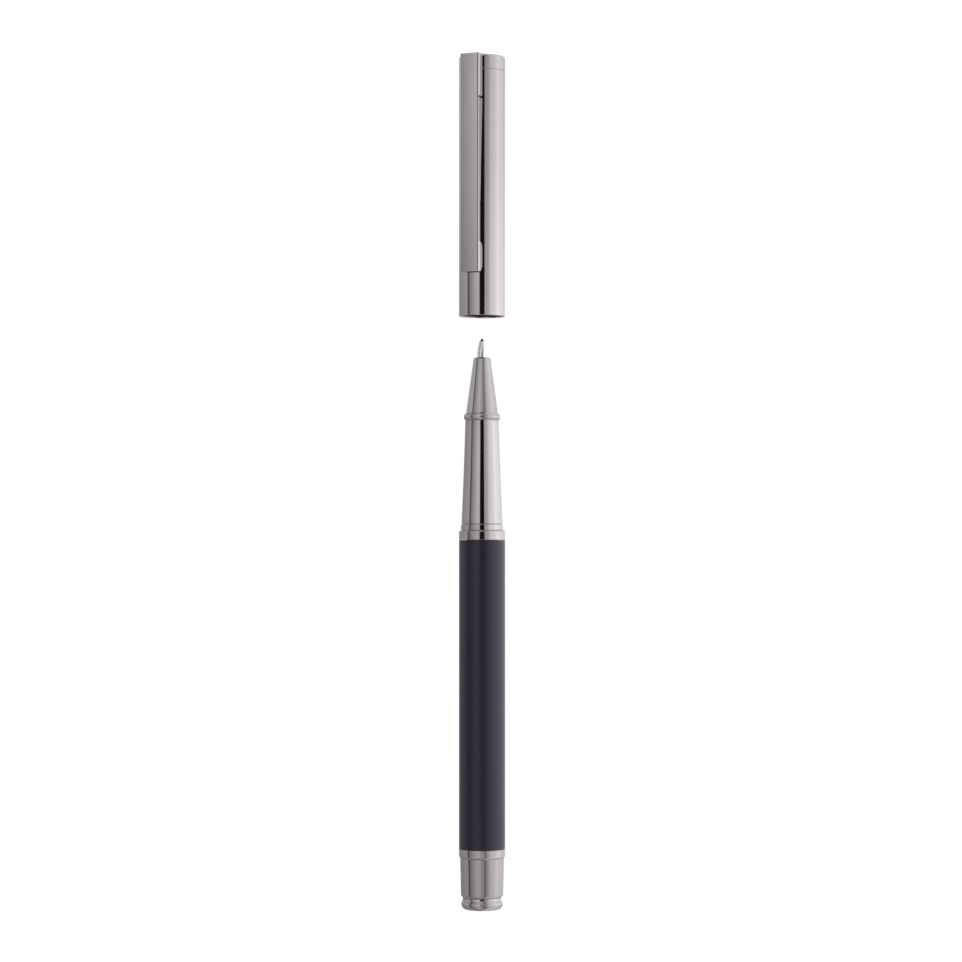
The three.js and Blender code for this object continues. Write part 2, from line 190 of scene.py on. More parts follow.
# ---------- materials ----------
def link(tree, a, out, b, into):
    tree.links.new(a.outputs[out], b.inputs[into])


def new_material(name, colour, metallic, roughness):
    material = bpy.data.materials.new(name)
    material.use_nodes = True
    shader = material.node_tree.nodes["Principled BSDF"]
    shader.inputs["Base Color"].default_value = (*colour, 1)
    shader.inputs["Metallic"].default_value = metallic
    shader.inputs["Roughness"].default_value = roughness
    return material, material.node_tree, shader


def place(tree, scale):
    """Object coordinates in millimetres, stretched by scale along each axis."""
    where = tree.nodes.new("ShaderNodeTexCoord")
    mapping = tree.nodes.new("ShaderNodeMapping")
    mapping.inputs["Scale"].default_value = [s / MM for s in scale]
    link(tree, where, "Object", mapping, "Vector")
    return mapping


def noise(tree, mapping, detail):
    node = tree.nodes.new("ShaderNodeTexNoise")
    node.inputs["Scale"].default_value = 1.0
    node.inputs["Detail"].default_value = detail
    link(tree, mapping, "Vector", node, "Vector")
    return node


NOISE_LOW = 0.3          # nearly all of a noise lies between these
NOISE_HIGH = 0.7


def to_range(tree, source, out, low, high):
    """Stretch a noise so that it runs from low to high."""
    node = tree.nodes.new("ShaderNodeMapRange")
    node.inputs["From Min"].default_value = NOISE_LOW
    node.inputs["From Max"].default_value = NOISE_HIGH
    node.inputs["To Min"].default_value = low
    node.inputs["To Max"].default_value = high
    link(tree, source, out, node, "Value")
    return node


def two_tone(tree, shader, source, out, colour_a, colour_b):
    mix = tree.nodes.new("ShaderNodeMix")
    mix.data_type = "RGBA"
    mix.inputs[6].default_value = (*colour_a, 1)
    mix.inputs[7].default_value = (*colour_b, 1)
    tree.links.new(source.outputs[out], mix.inputs[0])
    tree.links.new(mix.outputs[2], shader.inputs["Base Color"])


def bump(tree, shader, source, out, distance_mm):
    node = tree.nodes.new("ShaderNodeBump")
    node.inputs["Distance"].default_value = distance_mm * MM
    link(tree, source, out, node, "Height")
    link(tree, node, "Normal", shader, "Normal")


def gunmetal():
    """Polished dark plating: faint lengthwise polishing marks and a slightly uneven tone."""
    material, tree, shader = new_material("gunmetal_plate", (0.537, 0.50, 0.51), 1.0, 0.09)
    streaks = noise(tree, place(tree, (6, 0.12, 6)), 5)
    tone = noise(tree, place(tree, (0.4, 0.08, 0.4)), 3)
    rough = to_range(tree, streaks, "Fac", 0.07, 0.12)
    link(tree, rough, "Result", shader, "Roughness")
    drift = to_range(tree, tone, "Fac", 0, 1)
    two_tone(tree, shader, drift, "Result", (0.522, 0.487, 0.497), (0.552, 0.513, 0.523))
    bump(tree, shader, streaks, "Fac", 0.0004)
    return material


def lacquer():
    """Satin dark aubergine lacquer with very fine orange peel."""
    material, tree, shader = new_material("barrel_lacquer", (0.0098, 0.0070, 0.0228), 0.0, 0.3)
    shader.inputs["IOR"].default_value = 1.64
    shader.inputs["Specular Tint"].default_value = (0.93, 0.85, 1.0, 1)
    grain = noise(tree, place(tree, (14, 14, 14)), 3)
    clouds = noise(tree, place(tree, (0.5, 0.15, 0.5)), 3)
    rough = to_range(tree, clouds, "Fac", 0.28, 0.33)
    link(tree, rough, "Result", shader, "Roughness")
    drift = to_range(tree, clouds, "Fac", 0, 1)
    two_tone(tree, shader, drift, "Result", (0.0090, 0.0064, 0.0213), (0.0106, 0.0076, 0.0243))
    bump(tree, shader, grain, "Fac", 0.0008)
    return material


def turned_metal(name, colour_a, colour_b, roughness, pitch):
    """Machined metal with fine tool lines round the axis."""
    material, tree, shader = new_material(name, colour_a, 1.0, roughness)
    lines = noise(tree, place(tree, (0.05, 1 / pitch, 0.05)), 2)
    blotch = noise(tree, place(tree, (1, 0.6, 1)), 4)
    rough = to_range(tree, blotch, "Fac", roughness * 0.8, roughness * 1.25)
    link(tree, rough, "Result", shader, "Roughness")
    drift = to_range(tree, blotch, "Fac", 0, 1)
    two_tone(tree, shader, drift, "Result", colour_a, colour_b)
    bump(tree, shader, lines, "Fac", 0.003)
    return material


def moulded(name, colour_a, colour_b, roughness):
    """Moulded plastic with a very fine grain."""
    grain_size = 0.06
    material, tree, shader = new_material(name, colour_a, 0.0, roughness)
    grain = noise(tree, place(tree, (1 / grain_size,) * 3), 3)
    blotch = noise(tree, place(tree, (0.8, 0.5, 0.8)), 3)
    rough = to_range(tree, blotch, "Fac", roughness * 0.85, roughness * 1.15)
    link(tree, rough, "Result", shader, "Roughness")
    drift = to_range(tree, blotch, "Fac", 0, 1)
    two_tone(tree, shader, drift, "Result", colour_a, colour_b)
    bump(tree, shader, grain, "Fac", 0.004)
    return material


def fibre(name, colour_a, colour_b):
    """Bundled fibres that run lengthwise, soaked with ink."""
    material, tree, shader = new_material(name, colour_a, 0.0, 0.75)
    strands = noise(tree, place(tree, (9, 0.25, 9)), 4)
    drift = to_range(tree, strands, "Fac", 0, 1)
    two_tone(tree, shader, drift, "Result", colour_a, colour_b)
    bump(tree, shader, strands, "Fac", 0.03)
    return material


MATERIALS = {
    "gunmetal_plate": gunmetal(),
    "barrel_lacquer": lacquer(),
    "brass": turned_metal("brass", (0.62, 0.43, 0.17), (0.70, 0.51, 0.23), 0.28, 0.08),
    "spring_steel": turned_metal("spring_steel", (0.50, 0.51, 0.52), (0.58, 0.59, 0.60), 0.25,
                                 0.15),
    "refill_metal": turned_metal("refill_metal", (0.55, 0.56, 0.57), (0.63, 0.64, 0.65), 0.3,
                                 0.3),
    "nickel_silver": turned_metal("nickel_silver", (0.90, 0.89, 0.87), (0.96, 0.95, 0.93), 0.2,
                                  0.25),
    "carbide": turned_metal("carbide", (0.17, 0.17, 0.18), (0.23, 0.23, 0.24), 0.12, 0.2),
    "black_plastic": moulded("black_plastic", (0.010, 0.010, 0.011), (0.016, 0.016, 0.017),
                             0.45),
    "white_plastic": moulded("white_plastic", (0.66, 0.65, 0.61), (0.72, 0.71, 0.68), 0.42),
    "ink_fibre": fibre("ink_fibre", (0.012, 0.016, 0.09), (0.03, 0.04, 0.16)),
}


def dress(piece, node, body, slot):
    """Give the piece its material, let it ride on its body and stand for its CAD node, if any."""
    piece.data.materials.clear()
    piece.data.materials.append(MATERIALS[slot])
    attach(piece, body)
    if node:
        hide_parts(node)
    return piece


# ---------- barrel and tail ----------
def tail_button():
    rear, front = span("tail_button")
    neck_r = 4.185
    bead_r = radius("tail_button")
    spigot_r = 3.6
    neck = rear + 2.15
    face = rear + 2.65
    dome = through([
        (0, rear), (2.4, rear + 0.01), (3.4, rear + 0.06), (3.95, rear + 0.22),
        (4.33, rear + 0.62), (bead_r, rear + 1.2), (4.4, rear + 1.7), (neck_r, neck),
    ])
    return lathe("tail_button_fine", dome + [
        (neck_r, face), (spigot_r, face), (spigot_r, front, 0.1), (0, front),
    ])


def rear_sleeve():
    rear = span("rear_sleeve")[0]
    front = span("rear_ring")[0] - SEAM_GAP
    rear_r = 4.59
    front_r = radius("rear_sleeve")
    bore_r = 3.65
    return lathe("rear_sleeve_fine", [
        (rear_r - 0.36, rear, 0.06), (rear_r, rear + 0.42, 0.25), (front_r, front - 0.12, 0.1),
        (front_r - 0.1, front, 0.05), (bore_r, front), (bore_r, rear),
    ])


def rear_ring():
    rear, front = span("rear_ring")
    outer_r = radius("rear_ring")
    face = span("barrel_tube")[0] - 0.03
    spigot_r = 4.25
    bore_r = 3.65
    return lathe("rear_ring_fine", [
        (outer_r - 0.2, rear, 0.05), (outer_r, rear + 0.25, 0.15), (outer_r, face, 0.04),
        (spigot_r, face), (spigot_r, front, 0.1), (bore_r, front), (bore_r, rear),
    ])


def tail_cup():
    rear, front = span("tail_cup")
    outer_r = radius("tail_cup")
    bore_r = 3.15
    floor = rear + 1.4
    return lathe("tail_cup_fine", [
        (0, rear), (outer_r, rear, 0.15), (outer_r, front, 0.1), (bore_r, front, 0.1),
        (bore_r, floor, 0.3), (0, floor),
    ], SMALL_SIDES)


def barrel_tube():
    rear, front = span("barrel_tube")
    return tube("barrel_tube_fine", rear, front, radius("barrel_tube"), 4.3, 0.05)


THREAD_PITCH = 0.75
THREAD_DEPTH = 0.22
THREAD_RUNOUT = 0.6
THREAD_STEP = THREAD_PITCH / 8


def thread(rear, front):
    """Relief of a right-hand thread between two stations, fading out at both ends."""
    def relief(r, station, turn):
        into = max(0.0, (station - rear) / THREAD_RUNOUT)
        left = max(0.0, (front - station) / THREAD_RUNOUT)
        fade = min(1.0, into, left)
        phase = (station / THREAD_PITCH - turn / (2 * math.pi)) % 1.0
        ridge = abs(2 * phase - 1) ** 0.8
        return THREAD_DEPTH * ridge * fade
    return relief


def stations(rear, front, step):
    count = max(1, round((front - rear) / step))
    return [rear + (front - rear) * i / count for i in range(count + 1)]


def front_bush():
    rear, front = span("front_bush")
    outer_r = radius("front_bush")
    bore_r = 3.6
    cut = thread(rear, front)

    def relief(r, station, turn):
        return cut(r, station, turn) if r < bore_r + 0.01 else 0.0

    bore = [(bore_r, y) for y in reversed(stations(rear, front, THREAD_STEP))]
    return lathe("front_bush_fine", [(outer_r, rear, 0.1), (outer_r, front, 0.1)] + bore,
                 SMALL_SIDES, relief)


def refill_spring():
    """Coil with closed, flattened end turns, as wire of true thickness."""
    rear, front = span("refill_spring")
    wire_r = 0.25
    coil_r = 2.2
    turns = 6
    dead_turns = 1.1
    steps_per_turn = 40
    wire_sides = 12
    low = rear + wire_r
    high = front - wire_r
    total = round(turns * steps_per_turn)
    bm = bmesh.new()
    loops = []

    def rise(t):
        """Share of the free length reached after t turns: slow in the dead turns."""
        slope = 2 * wire_r / (high - low)
        if t < dead_turns:
            return slope * t
        if t > turns - dead_turns:
            return 1 - slope * (turns - t)
        live = (t - dead_turns) / (turns - 2 * dead_turns)
        return slope * dead_turns + live * (1 - 2 * slope * dead_turns)

    for i in range(total + 1):
        t = i / steps_per_turn
        turn = 2 * math.pi * t
        out = Vector((math.sin(turn), 0, math.cos(turn)))
        centre = out * coil_r * MM + Vector((0, (low + (high - low) * rise(t)) * MM, AXIS_Z))
        loop = []
        for k in range(wire_sides):
            a = 2 * math.pi * k / wire_sides
            offset = out * math.cos(a) + Vector((0, 1, 0)) * math.sin(a)
            loop.append(bm.verts.new(centre + offset * wire_r * MM))
        loops.append(loop)
    for a, b in zip(loops, loops[1:]):
        bridge(bm, a, b)
    bm.faces.new(loops[0])
    bm.faces.new(loops[-1])
    return mesh_object("refill_spring_fine", bm)


# ---------- refill ----------
def refill_tube():
    rear, front = span("refill_tube")
    outer_r = radius("refill_tube")
    return lathe("refill_tube_fine", [
        (outer_r, rear, 0.05), (outer_r, front - 2.2, 0.1), (outer_r - 0.06, front - 2.0, 0.1),
        (outer_r - 0.06, front - 1.6, 0.1), (outer_r, front - 1.4, 0.1), (outer_r, front, 0.05),
        (outer_r - 0.35, front), (outer_r - 0.35, rear),
    ], SMALL_SIDES)


def refill_end_plug():
    rear, front = span("refill_end_plug")
    head_r = radius("refill_end_plug")
    spigot_r = 2.6
    head = rear + 1.55
    dimple_r = 0.9
    return lathe("refill_end_plug_fine", [
        (0, rear + 0.35), (dimple_r, rear + 0.35, 0.1), (dimple_r, rear, 0.08),
        (head_r, rear, 0.35), (head_r, head, 0.05), (spigot_r, head), (spigot_r, front, 0.2),
        (0, front),
    ], SMALL_SIDES)


def ink_reservoir():
    rear, front = span("ink_reservoir")
    outer_r = radius("ink_reservoir")

    def relief(r, station, turn):
        return -0.05 * abs(math.sin(9 * turn)) if r > 1 else 0.0

    return lathe("ink_reservoir_fine", [(0, rear), (outer_r, rear, 0.1), (outer_r, front, 0.1),
                                        (0, front)], SIDES, relief)


def tip_holder():
    rear, front = span("tip_holder")
    shoulder_front = span("nose_cone")[0] - FIT
    shoulder_rear = span("refill_tube")[1] + FIT
    spigot_r = 2.6
    collar_r = radius("tip_holder")
    neck_r = 2.65
    feed_bore_r = 0.6
    tip_bore_r = 0.85
    tip_rear = span("writing_tip")[0] - FIT
    return lathe("tip_holder_fine", [
        (spigot_r, rear, 0.2), (spigot_r, shoulder_rear), (collar_r, shoulder_rear, 0.05),
        (collar_r, shoulder_front, 0.05), (neck_r, shoulder_front),
        (neck_r, shoulder_front + 3.45, 0.8), (1.15, front, 0.1), (tip_bore_r, front),
        (tip_bore_r, tip_rear), (feed_bore_r, tip_rear), (feed_bore_r, rear),
    ], SMALL_SIDES)


def feed_rod():
    rear, front = span("feed_rod")
    rod_r = radius("feed_rod")
    return lathe("feed_rod_fine", [(0, rear), (rod_r, rear, 0.05), (rod_r, front, 0.05),
                                   (0, front)], 48)


def writing_tip():
    """Turned point: parallel shank, shoulder, then a cone rolled over the ball at its lip."""
    rear, front = span("writing_tip")
    shank_r = 0.8
    tip_r = radius("writing_tip")
    shoulder = rear + 4.3
    cone_start = rear + 8.1
    lip_r = 0.44
    socket_r = 0.38
    ink_bore_r = 0.2
    cone = through([
        (tip_r, cone_start), (0.98, cone_start + 0.45), (0.83, cone_start + 1.0),
        (0.62, front - 0.35), (0.52, front - 0.12), (lip_r, front),
    ], 5)
    return lathe("writing_tip_fine", [
        (shank_r, rear, 0.05), (shank_r, shoulder), (tip_r, shoulder, 0.1),
        (tip_r, cone_start - 0.3),
    ] + cone + [
        (socket_r, front), (socket_r, front - 0.6), (ink_bore_r, front - 0.7),
        (ink_bore_r, rear),
    ], SMALL_SIDES)


def tip_ball():
    rear, front = span("tip_ball")
    ball_r = (front - rear) / 2
    centre = (front + rear) / 2
    arc = []
    steps = 24
    for i in range(steps + 1):
        turn = math.pi * i / steps
        arc.append((ball_r * math.sin(turn), centre - ball_r * math.cos(turn)))
    arc[0] = (0, rear)
    arc[-1] = (0, front)
    return lathe("tip_ball_fine", arc, 48)


# ---------- grip section ----------
def grip_core():
    rear, front = span("grip_core")
    outer_r = radius("grip_core")
    bore_r = 3.15
    thread_front = span("centre_collar")[0] - 0.1
    cut = thread(rear, thread_front)

    def relief(r, station, turn):
        on_thread = r > bore_r + 0.1 and station < thread_front
        return cut(r, station, turn) - THREAD_DEPTH * 0.4 if on_thread else 0.0

    ridge = [(outer_r, y) for y in stations(rear, thread_front, THREAD_STEP)]
    return lathe("grip_core_fine", ridge + [
        (outer_r - 0.12, thread_front + 0.05), (outer_r - 0.12, thread_front + 0.1),
        (outer_r, thread_front + 0.15), (outer_r, front, 0.1), (bore_r, front), (bore_r, rear),
    ], SMALL_SIDES, relief)


def centre_collar():
    rear = span("centre_collar")[0]
    front = span("grip_sleeve")[0] - SEAM_GAP
    outer_r = radius("centre_collar")
    bore_r = 3.55
    return lathe("centre_collar_fine", [
        (outer_r, rear, 0.05), (outer_r, front, 0.22), (bore_r, front), (bore_r, rear),
    ])


def grip_sleeve():
    """Narrow band between two fine grooves, then a slow concave flare to the bead."""
    rear, front = span("grip_sleeve")
    band_r = radius("grip_sleeve")
    band_front = rear + 1.4
    grip_r = 4.47
    end_r = 3.66
    flare_power = 1.2
    groove = 0.14
    edge = 0.1
    core_bore_r = 3.55
    core_front = span("grip_core")[1] + FIT
    refill_bore_r = 3.15
    spigot_bore_r = 3.4
    spigot_rear = span("nose_cone")[0] - FIT
    steps = 28
    flare = []
    for i in range(steps + 1):
        t = i / steps
        flare.append((end_r + (grip_r - end_r) * (1 - t) ** flare_power,
                      band_front + edge + (front - band_front - edge) * t))
    return lathe("grip_sleeve_fine", [
        (band_r - groove, rear), (band_r - groove, rear + 0.06, 0.03), (band_r, rear + 0.12, 0.05),
        (band_r - 0.03, band_front - 0.12, 0.05), (grip_r - groove, band_front - 0.08, 0.03),
        (grip_r - groove, band_front, 0.03),
    ] + flare + [
        (spigot_bore_r, front), (spigot_bore_r, spigot_rear), (refill_bore_r, spigot_rear),
        (refill_bore_r, core_front), (core_bore_r, core_front), (core_bore_r, rear),
    ])


def bead_ring():
    rear, front = span("bead_ring")
    bead_r = radius("bead_ring")
    foot_r = 3.42
    bore_r = 3.4
    middle = (rear + front) / 2
    half = (front - rear) / 2
    land = 0.08
    fullness = 0.6
    arc = [(foot_r, rear, 0.02), (foot_r, rear + land)]
    steps = 24
    for i in range(1, steps):
        turn = math.pi * i / steps
        arc.append((foot_r + (bead_r - foot_r) * math.sin(turn) ** fullness,
                    middle - (half - land) * math.cos(turn)))
    arc += [(foot_r, front - land), (foot_r, front, 0.02)]
    return lathe("bead_ring_fine", arc + [(bore_r, front), (bore_r, rear)])


def nose_cone():
    rear, front = span("nose_cone")
    spigot_r = 3.35
    face = span("bead_ring")[1] + FIT
    cone_r = 3.47
    cone_front = front - 0.3
    front_r = 1.82
    lip_r = 1.62
    bore_r = 2.85
    hole_r = 1.2
    return lathe("nose_cone_fine", [
        (spigot_r, rear, 0.1), (spigot_r, face), (cone_r, face, 0.05),
        (front_r + 0.04, cone_front, 0.25), (lip_r, front, 0.08), (hole_r, front, 0.06),
        (hole_r, front - 1.4), (bore_r, face + 0.35), (bore_r, rear),
    ])


# ---------- cap ----------
SEAM_DEPTH = 0.02        # of the fine seam between the cap's tube and its crown
SEAM_RISE = 0.03


def cut_slot(piece, node):
    """Open the slot that the clip's anchor passes through, a little wider than the anchor."""
    rear, front = span(node)
    clearance = 0.08
    half_width = 1.6 + clearance
    low = rear - clearance
    high = front + clearance
    across = Vector((math.cos(CLIP_TURN), 0, -math.sin(CLIP_TURN)))
    out = Vector((math.sin(CLIP_TURN), 0, math.cos(CLIP_TURN)))
    bm = bmesh.new()
    corners = []
    for station in (low, high):
        for side in (-half_width, half_width):
            for height in (3.0, 6.5):
                at = across * side + out * height + Vector((0, station, 0))
                corners.append(bm.verts.new(at * MM + Vector((0, 0, AXIS_Z))))
    bmesh.ops.convex_hull(bm, input=corners)
    cutter = mesh_object("slot_cutter", bm)
    cut = piece.modifiers.new("slot", "BOOLEAN")
    cut.operation = "DIFFERENCE"
    cut.solver = "EXACT"
    cut.object = cutter
    bpy.context.view_layer.update()
    shape = piece.evaluated_get(bpy.context.evaluated_depsgraph_get())
    mesh = bpy.data.meshes.new_from_object(shape)
    piece.modifiers.clear()
    piece.data = mesh
    bpy.data.objects.remove(cutter)
    mesh.set_sharp_from_angle(angle=math.radians(SHARP_ANGLE))
    return piece


def cap_tube():
    rear, front = span("cap_tube")
    outer_r = radius("cap_tube")
    bore_r = 4.7
    piece = lathe("cap_tube_fine", [
        (outer_r, rear, 0.1), (outer_r, front - SEAM_RISE - SUPPORT),
        (outer_r, front - SEAM_RISE), (outer_r - SEAM_DEPTH, front),
        (bore_r, front), (bore_r, rear + 0.25, 0.1), (bore_r + 0.08, rear, 0.06),
    ])
    return cut_slot(piece, "clip_anchor")


def cap_liner():
    rear, front = span("cap_liner")
    outer_r = radius("cap_liner")
    bore_r = 4.15
    lip_r = 4.03
    lip = 1.5
    floor = front - 1.0
    return lathe("cap_liner_fine", [
        (0, floor), (bore_r, floor, 0.6), (bore_r, rear + lip + 0.4, 0.2),
        (lip_r, rear + lip, 0.2), (lip_r, rear + 0.5, 0.2), (bore_r + 0.1, rear, 0.1),
        (outer_r, rear, 0.1), (outer_r, front, 0.2), (0, front),
    ])


def cap_crown():
    rear, front = span("cap_crown")
    outer_r = radius("cap_crown")
    seam = span("cap_tube")[1] + FIT
    spigot_r = 4.6
    hole_r = 1.45
    hole_front = front - 0.8
    return lathe("cap_crown_fine", [
        (0, hole_front), (hole_r, hole_front), (hole_r, rear), (spigot_r, rear, 0.1),
        (spigot_r, seam), (outer_r - SEAM_DEPTH, seam), (outer_r, seam + SEAM_RISE),
        (outer_r, seam + SEAM_RISE + SUPPORT), (outer_r, front, 0.5), (outer_r * 0.5, front), (0, front),
    ])


def clip_washer():
    rear, front = span("clip_washer")
    return tube("clip_washer_fine", rear, front, radius("clip_washer"), 1.45, 0.08, SMALL_SIDES)


def clip_screw():
    rear, front = span("clip_screw")
    head_r = radius("clip_screw")
    shank_r = 1.4
    head_front = rear + 1.4
    socket_r = 0.9
    socket_floor = rear + 0.7
    cut = thread(head_front + 0.8, front)

    def relief(r, station, turn):
        if r < socket_r + 0.01 and station < socket_floor + 0.01:
            flat = math.cos(math.pi / 6)
            local = (turn % (math.pi / 3)) - math.pi / 6
            return r * (flat / math.cos(local) - 1)
        on_shank = shank_r - 0.01 < r < shank_r + 0.01
        return 0.5 * (cut(r, station, turn) - THREAD_DEPTH) if on_shank else 0.0

    shank = [(shank_r, y) for y in stations(head_front, front, THREAD_STEP)]
    return lathe("clip_screw_fine", [
        (0, socket_floor), (socket_r, socket_floor), (socket_r, rear + 0.02),
        (socket_r + 0.05, rear), (head_r, rear, 0.25), (head_r, head_front, 0.05),
    ] + shank + [(0, front)], SMALL_SIDES, relief)


# ---------- clip ----------
def clip_frame(across, station, height):
    """Point at a distance across the clip, a station, and a height above the cap's axis."""
    side = Vector((math.cos(CLIP_TURN), 0, -math.sin(CLIP_TURN)))
    out = Vector((math.sin(CLIP_TURN), 0, math.cos(CLIP_TURN)))
    point = side * across + out * height
    return Vector((point.x * MM, station * MM, AXIS_Z + point.z * MM))


CLIP_HALF = 2.32         # half the clip's width
CLIP_TOP = 6.35          # height of the crown of its face
CLIP_SHEET = 0.36
CLIP_BEND = 0.65         # outer radius of the folded edges
CLIP_CROWN = math.radians(4.5)   # how far the face has turned by its edge
CAP_GAP = 0.04
SEAT = 4.0               # height of the flange edge where it comes down to the cap
LIP = 5.9                # and where it ends partway round the bend
ROOT_LENGTH = 9.4        # the deep flange, from the cap's top
NOTCH_R = 0.26           # relief at the foot of the step
NOTCH_DEPTH = 0.12       # how far it cuts into the bend
BELLY_CENTRE = 3.3       # from the clip's free end
BELLY_HALF = 3.25


def cap_surface(across):
    cap_r = radius("cap_tube")
    return math.sqrt(cap_r ** 2 - across ** 2)


def clip_section(edge):
    """Outer and inner line of the folded sheet's right half, as (across, height) points."""
    face_r = (CLIP_HALF - CLIP_BEND * (1 - math.sin(CLIP_CROWN))) / math.sin(CLIP_CROWN)
    centre_h = CLIP_TOP - face_r
    bend_x = (face_r - CLIP_BEND) * math.sin(CLIP_CROWN)
    bend_h = centre_h + (face_r - CLIP_BEND) * math.cos(CLIP_CROWN)
    half = bend_x + CLIP_BEND
    face_steps = 12
    bend_steps = 10

    bend_end = math.pi / 2
    if edge > bend_h:
        bend_end = math.acos((edge - bend_h) / CLIP_BEND)

    def side(inset):
        """From the middle of the face to the foot of the flange, inset into the sheet."""
        foot = min(bend_h, max(edge, cap_surface(half - inset) + CAP_GAP))
        points = []
        for i in range(face_steps + 1):
            a = CLIP_CROWN * i / face_steps
            points.append(((face_r - inset) * math.sin(a),
                           centre_h + (face_r - inset) * math.cos(a)))
        for i in range(1, bend_steps + 1):
            a = CLIP_CROWN + (bend_end - CLIP_CROWN) * i / bend_steps
            reach = CLIP_BEND - inset
            points.append((bend_x + reach * math.sin(a), bend_h + reach * math.cos(a)))
        across, height = points[-1]
        for share in (0.1, 0.5, 0.9, 1.0):
            drop = foot - bend_h if bend_end == math.pi / 2 else 0.0
            points.append((across, height + drop * share))
        return points

    return side(0.0), side(CLIP_SHEET)


def flange_edge(station):
    """Height of the flange's free edge along the clip."""
    rear, front = span("clip")
    root_end = front - ROOT_LENGTH
    belly = rear + BELLY_CENTRE
    if station > root_end + NOTCH_R:
        return SEAT
    if station > root_end - NOTCH_R:
        off = (station - root_end) / NOTCH_R
        return LIP + NOTCH_DEPTH * math.sqrt(max(0.0, 1 - off ** 2))
    if abs(station - belly) < BELLY_HALF:
        return LIP - (LIP - SEAT) * math.sqrt(1 - ((station - belly) / BELLY_HALF) ** 2)
    return LIP


def clip_levels():
    """Stations of the clip's sections: close together round the notch and the belly."""
    rear, front = span("clip")
    root_end = front - ROOT_LENGTH
    belly_steps = 32
    notch_steps = 12
    longest = 0.8
    marks = set(stations(rear, front, longest))
    for i in range(belly_steps + 1):
        marks.add(rear + BELLY_CENTRE - BELLY_HALF * math.cos(math.pi * i / belly_steps))
    for i in range(notch_steps + 1):
        marks.add(root_end - NOTCH_R * math.cos(math.pi * i / notch_steps))
    marks.add(root_end + NOTCH_R + HAIR)
    return sorted(m for m in marks if rear <= m <= front)


def clip():
    bm = bmesh.new()
    loops = []
    for station in clip_levels():
        outer, inner = clip_section(flange_edge(station))
        right = outer[1:] + list(reversed(inner[1:]))
        left = [(-x, h) for x, h in reversed(right)]
        section = [outer[0]] + right + [inner[0]] + left
        loops.append([bm.verts.new(clip_frame(x, station, h)) for x, h in section])
    for a, b in zip(loops, loops[1:]):
        bridge(bm, a, b)
    for loop in (loops[0], loops[-1]):
        close_section(bm, loop)
    return mesh_object("clip_fine", bm)


def clip_foot():
    """Thin strips lying on the cap along both flanges, tapering away from the root."""
    front = span("clip")[1] - ROOT_LENGTH - NOTCH_R
    length = 22.5
    root_outer = 2.32
    root_inner = 1.93
    tip_across = 1.88
    thickness = 0.25
    outer_share = 0.6      # the strip is thinner along its outer edge
    tip_thinning = 0.8
    least_width = 0.02
    sink = 0.005
    steps = 30
    bm = bmesh.new()
    for sign in (-1, 1):
        loops = []
        for i in range(steps + 1):
            t = i / steps
            station = front - length * t
            outer = tip_across + (root_outer - tip_across) * (1 - t)
            inner = min(root_inner, outer - least_width)
            rise = thickness * (1 - tip_thinning * t)
            corners = [(inner, -sink), (outer, -sink), (outer, outer_share * rise),
                       (inner, rise)]
            loops.append([bm.verts.new(clip_frame(sign * x, station, cap_surface(x) + h))
                          for x, h in corners])
        for a, b in zip(loops, loops[1:]):
            bridge(bm, a, b)
        bm.faces.new(loops[0])
        bm.faces.new(loops[-1])
    return mesh_object("clip_foot", bm)


def close_section(bm, loop):
    """Close a clip end: quads between the outer and the inner line of the section."""
    count = len(loop)
    half = count // 2
    quarter = half // 2 + 1
    for i in range(quarter - 1):
        j = half - i
        bm.faces.new([loop[i], loop[i + 1], loop[j - 1], loop[j]])
        p = (count - i) % count
        q = half + i
        bm.faces.new([loop[p], loop[q], loop[q + 1], loop[count - i - 1]])


def clip_anchor():
    """Eyelet round the screw and a tongue that runs out through the cap to the clip."""
    rear, front = span("clip_anchor")
    eyelet_r = 3.2
    hole_r = 1.45
    half_width = 1.6
    tongue_end = CLIP_TOP - CLIP_SHEET - 0.08
    steps = 48
    join = math.asin(half_width / eyelet_r)
    rim = []
    for i in range(steps + 1):
        a = join + (2 * math.pi - 2 * join) * i / steps
        rim.append((eyelet_r * math.sin(a), eyelet_r * math.cos(a)))
    rim += [(-half_width, tongue_end), (half_width, tongue_end)]
    hole = [(hole_r * math.sin(2 * math.pi * i / steps), hole_r * math.cos(2 * math.pi * i / steps))
            for i in range(steps)]
    bm = bmesh.new()
    edges = []
    for outline in (rim, hole):
        verts = [bm.verts.new(clip_frame(x, rear, h)) for x, h in outline]
        for a, b in zip(verts, verts[1:] + verts[:1]):
            edges.append(bm.edges.new((a, b)))
    bmesh.ops.triangle_fill(bm, edges=edges, use_beauty=True)
    sheet = bmesh.ops.extrude_face_region(bm, geom=bm.faces[:])
    moved = [g for g in sheet["geom"] if isinstance(g, bmesh.types.BMVert)]
    bmesh.ops.translate(bm, verts=moved, vec=(0, (front - rear) * MM, 0))
    return mesh_object("clip_anchor_fine", bm)


